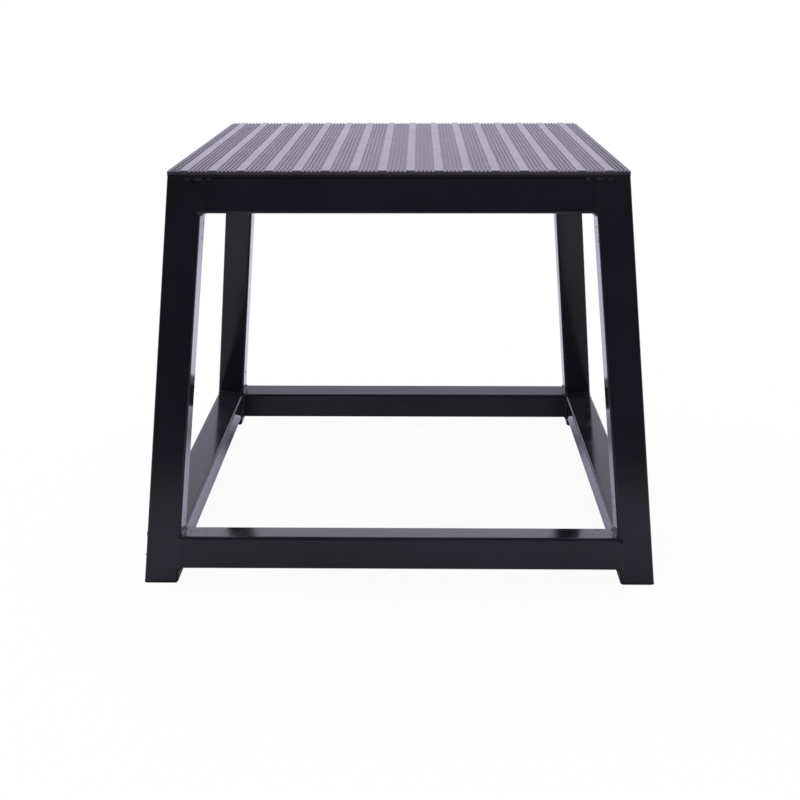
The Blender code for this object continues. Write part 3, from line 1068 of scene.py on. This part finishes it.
# %% Mix the rubber
def rubber_bumps(tree, place, on_band, cut_edge):
    """Stack the mould's cloth print off the bands, fine grain, and the cut edge's marks."""
    weave = {"Vector": place, "Scale": 260, "Distortion": 1.5}
    cloth = add_node(tree, "TexWave", weave, bands_direction="Y").outputs["Fac"]
    unpolished = maths(tree, "SUBTRACT", 1.0, on_band)
    normal = bump(tree, times(tree, cloth, unpolished), depth=0.00006)
    normal = bump(tree, noise(tree, place, scale=2600, detail=3.0), 0.00002, normal)
    saw = noise(tree, place, scale=1500, detail=2.0, stretch=(1, 1, 0.08))
    return bump(tree, times(tree, saw, cut_edge), 0.0001, normal)


def ribbed_rubber():
    """Make the mat's rubber, with polished bands and a dirty cut edge."""
    made, tree, shader, place = start_material("ribbed_rubber")
    on_rib = add_node(tree, "Attribute", attribute_name="on_rib").outputs["Fac"]
    on_band = add_node(tree, "Attribute", attribute_name="on_band").outputs["Fac"]
    cut_edge = ramp(tree, upward_part(tree), 0.2, 0.02)
    color = rubber_color(tree, place, on_rib, on_band, cut_edge)
    smooth = plus(tree, times(tree, on_band, -0.18), times(tree, on_rib, -0.10))
    patchy = times(tree, noise(tree, place, scale=30, detail=4.0), 0.12)
    rough = plus(tree, plus(tree, smooth, patchy), 0.34)
    normal = rubber_bumps(tree, place, on_band, cut_edge)
    wire(tree, shader, {"Base Color": color, "Roughness": rough, "Normal": normal})
    return made


mat_rubber = ribbed_rubber()
print("rubber:", len(mat_rubber.node_tree.nodes), "nodes")

# %% Make the mat
def make_mat():
    """Make the ribbed mat and put it in place of its plain solid."""
    bm = mat_slab()
    raise_strips(bm)
    soften_strips(bm)
    mark_strips(bm)
    piece = keep_piece(bm, "ribbed_sheet", mat_rubber, sharp_angle=60)
    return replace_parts(piece, "rubber_mat")


mat = make_mat()
print("mat:", len(mat.data.polygons), "faces")

# %% [markdown]
# The foot caps
# A plastic cap is pushed into each open leg end and keeps the steel off the floor. Only
# its thin tread shows. The measured solid already has the right shape, so it stays and
# only gets a finish: fine grain from the mould, and grey scuffs at the floor.

# %% Mix the plastic and give it to the caps
CAP_COLORS = ((0.015, 0.015, 0.016), (0.022, 0.022, 0.023))
SCUFF_COLOR = (0.11, 0.108, 0.11)


def cap_plastic_finish():
    """Make matt moulded plastic with scuffs on its lowest millimetre."""
    made, tree, shader, place = start_material("cap_moulding")
    low = ramp(tree, split(tree, place)["Z"], 0.0009, 0.0001)
    patches = ramp(tree, noise(tree, place, scale=320, detail=5.0), 0.45, 0.68)
    scuffs = times(tree, low, patches)
    color = blend_colors(tree, noise(tree, place, scale=90), *CAP_COLORS)
    color = lay_over(tree, color, scuffs, share=0.5, top=SCUFF_COLOR)
    rough = plus(tree, times(tree, scuffs, 0.2), 0.52)
    normal = bump(tree, noise(tree, place, scale=3800), depth=0.00002)
    wire(tree, shader, {"Base Color": color, "Roughness": rough, "Normal": normal})
    return made


cap_moulding = cap_plastic_finish()
for corner in CORNERS:
    frame["nodes"][corner + "_foot_cap"].material_slots[0].material = cap_moulding
print("caps finished:", len(CORNERS))

# %% [markdown]
# The camera
# The photograph is taken from a little above the deck, looking down by 18 degrees. The
# lens and the place come from fitting the box's known corners to the picture, so the
# same corners land on the same spots here.

# %% Place the camera
CAMERA_PLACE = (0.01411, -1.03885, 0.42589)
LOOK_LEFT = 0.0151
LOOK_DOWN = 0.3192
LEAN = -0.0022

lens = bpy.data.cameras.new("photo_lens")
lens.lens = 56.07
lens.sensor_width = 36.0
lens.clip_start = 0.01
camera = add_object("photo_camera", lens)
camera.matrix_world = (
    Matrix.Translation(CAMERA_PLACE)
    @ Matrix.Rotation(LOOK_LEFT, 4, "Z")
    @ Matrix.Rotation(math.pi / 2 - LOOK_DOWN, 4, "X")
    @ Matrix.Rotation(LEAN, 4, "Z")
)
bpy.context.scene.camera = camera
print("camera", [round(part, 3) for part in camera.location], "lens", lens.lens, "mm")

# %% [markdown]
# The studio that the coat mirrors
# Glossy black shows little colour of its own and mostly mirrors the room. In the
# photograph the upright faces are nearly black, because they mirror the dark end of the
# room behind the camera, and the level faces are lilac grey, because they mirror the
# pale backdrop. So the world is plain white to the camera, an even fill for the light
# that surfaces scatter, and a room with a pale end and a dark end for reflections.

# %% Colour the room
# A ramp runs between two values of the direction's Y or Z, from 0 to 1 or as written.
BACKDROP = (0.90, 0.865, 1.05)
DARK_END = (0.05, 0.047, 0.062)
BACKDROP_STARTS = (-0.15, 0.35)
DIMS_UPWARD = (0.08, 0.36, 1.0, 0.76)
BRIGHT_STRIP = (0.40, 0.58, 0.0, 0.19)
CEILING_STARTS = (-0.45, 0.05)
CEILING = (0.35, 0.95, 0.0, 0.38)


def room_color(tree):
    """Give the room's colour in each direction: dark to the front, pale to the back."""
    parts = split(tree, add_node(tree, "TexCoord").outputs["Generated"])
    rising = plus(tree, ramp(tree, parts["Z"], *DIMS_UPWARD), ramp(tree, parts["Z"], *BRIGHT_STRIP))
    backwards = times(tree, ramp(tree, parts["Y"], *BACKDROP_STARTS), rising)
    overhead = ramp(tree, parts["Z"], *CEILING)
    overhead = times(tree, overhead, ramp(tree, parts["Y"], *CEILING_STARTS))
    pale = maths(tree, "MAXIMUM", backwards, overhead)
    return blend_colors(tree, pale, DARK_END, BACKDROP)


print("backdrop", BACKDROP, "dark end", DARK_END)

# %% Build the room
FILL_COLOR = (0.97, 0.97, 1, 1)
FILL_STRENGTH = 0.385


def background(tree, color, strength=1.0):
    """Add one background."""
    return add_node(tree, "Background", {"Color": color, "Strength": strength}).outputs[0]


def choose(tree, factor, first, second):
    """Give the first shader where the factor is 0 and the second where it is 1."""
    return add_node(tree, "MixShader", {0: factor, 1: first, 2: second}).outputs[0]


def seen_straight(tree):
    """Give 1 for what the camera sees without a reflection."""
    kind = add_node(tree, "LightPath").outputs
    return maths(tree, "MAXIMUM", kind["Is Camera Ray"], kind["Is Transmission Ray"])


def build_world():
    """Make the world from three backgrounds, chosen by the kind of ray."""
    world = bpy.data.worlds.new("studio")
    bpy.context.scene.world = world
    world.use_nodes = True
    tree = world.node_tree
    tree.nodes.clear()
    white = background(tree, (1, 1, 1, 1))
    fill = background(tree, FILL_COLOR, FILL_STRENGTH)
    room = background(tree, room_color(tree))
    mirrored = add_node(tree, "LightPath").outputs["Is Glossy Ray"]
    lit = choose(tree, mirrored, fill, room)
    add_node(tree, "OutputWorld", {"Surface": choose(tree, seen_straight(tree), lit, white)})


build_world()
print("the room is pale behind the box and dark behind the camera")

# %% [markdown]
# The floor
# The box stands on a pale sweep. To the camera the floor is white with only a breath of
# shadow under the feet, as in the photograph. Reflections see a real sheet of satin
# board. It is half mirror itself, so it looks pale towards the backdrop and grey towards
# the dark end, it ends a little way in front, and it is dim close to the front feet. A
# pool of light lies on it at the back left, where the left leg's inner side mirrors it.

# %% Make the floor's two looks
FOOT_SPOT = (0.163, -0.158, 0)
DIM_AT_FOOT = (0.022, 0.05, 0.1, 1.0)
BOARD_STARTS = (-0.85, -0.42)
BOARD_COLORS = ((0.13, 0.125, 0.15), (0.90, 0.87, 1.0))
POOL_BEHIND = (0.2, 0.4)
POOL_LEFT = (0.02, -0.02)
POOL_GLOW = (0.25, 0.24, 0.275)
SHADOW_FADES = (0.3, 1.2, 0.955, 1.0)


def finish_board(tree, board, place):
    """Give the satin board its colour and its pool of light."""
    parts = split(tree, place)
    sideways = maths(tree, "ABSOLUTE", parts["X"])
    corner = add_node(tree, "CombineXYZ", {0: sideways, 1: parts["Y"]}).outputs[0]
    from_foot = add_node(tree, "VectorMath", {0: corner, 1: FOOT_SPOT}, operation="SUBTRACT")
    dim = ramp(tree, length_of(tree, from_foot.outputs[0]), *DIM_AT_FOOT)
    tone = times(tree, ramp(tree, parts["Y"], *BOARD_STARTS), dim)
    color = blend_colors(tree, tone, *BOARD_COLORS)
    pool = times(tree, ramp(tree, parts["Y"], *POOL_BEHIND), ramp(tree, parts["X"], *POOL_LEFT))
    glow = blend_colors(tree, pool, (0.0, 0.0, 0.0), POOL_GLOW)
    wire(tree, board, {"Base Color": color, "Metallic": 0.45, "Roughness": 0.25})
    wire(tree, board, {"Emission Color": glow, "Emission Strength": 1.0})


def floor_finish():
    """Make the floor: nearly pure white to the camera, a satin board to reflections."""
    made, tree, board, place = start_material("pale_floor")
    finish_board(tree, board, place)
    matt = add_node(tree, "BsdfDiffuse", {"Color": (0.9, 0.9, 0.9, 1)}).outputs[0]
    shining = add_node(tree, "Emission", {"Color": (1, 1, 1, 1), "Strength": 1.0}).outputs[0]
    share = ramp(tree, length_of(tree, place), *SHADOW_FADES)
    white = choose(tree, share, matt, shining)
    whole = choose(tree, seen_straight(tree), board.outputs[0], white)
    wire(tree, tree.nodes["Material Output"], {"Surface": whole})
    return made


print("the board starts", -BOARD_STARTS[0], "m in front of the middle")

# %% Lay the floor
FLOOR_HALF_WIDTH = 8
FLOOR_LEVEL = -0.00002


def lay_floor():
    """Make a wide flat floor just under the feet."""
    bm = bmesh.new()
    bmesh.ops.create_grid(bm, x_segments=1, y_segments=1, size=FLOOR_HALF_WIDTH)
    shift_all(bm, (0, 0, FLOOR_LEVEL))
    mesh = bpy.data.meshes.new("floor")
    bm.to_mesh(mesh)
    bm.free()
    mesh.materials.append(floor_finish())
    floor = add_object("floor", mesh)
    return floor


floor = lay_floor()
print("floor:", [round(size, 1) for size in floor.dimensions])

# %% [markdown]
# The lamps
# Two large soft lamps light what scatters light, mainly the mat and the floor. They are
# hidden from reflections, which the room above already provides, so no lamp shape shows
# on the tubes.

# %% Hang the lamps
LAMPS_POINT_AT = Vector((0, 0, 0.15))


def hang_lamp(name, place, size, power):
    """Hang a square soft lamp that points at the box."""
    light = bpy.data.lights.new(name, "AREA")
    light.shape = "SQUARE"
    light.size = size
    light.energy = power
    lamp = add_object(name, light)
    lamp.location = place
    lamp.rotation_euler = (LAMPS_POINT_AT - Vector(place)).to_track_quat("-Z", "Y").to_euler()
    lamp.visible_glossy = False
    return lamp


lamps = [
    hang_lamp("overhead_lamp", (-0.3, 0.3, 2.2), size=1.8, power=40.0),
    hang_lamp("side_lamp", (1.6, -0.9, 1.4), size=1.2, power=5.0),
]
bpy.context.scene.view_settings.view_transform = "Standard"
print("lamps:", [lamp.name for lamp in lamps])
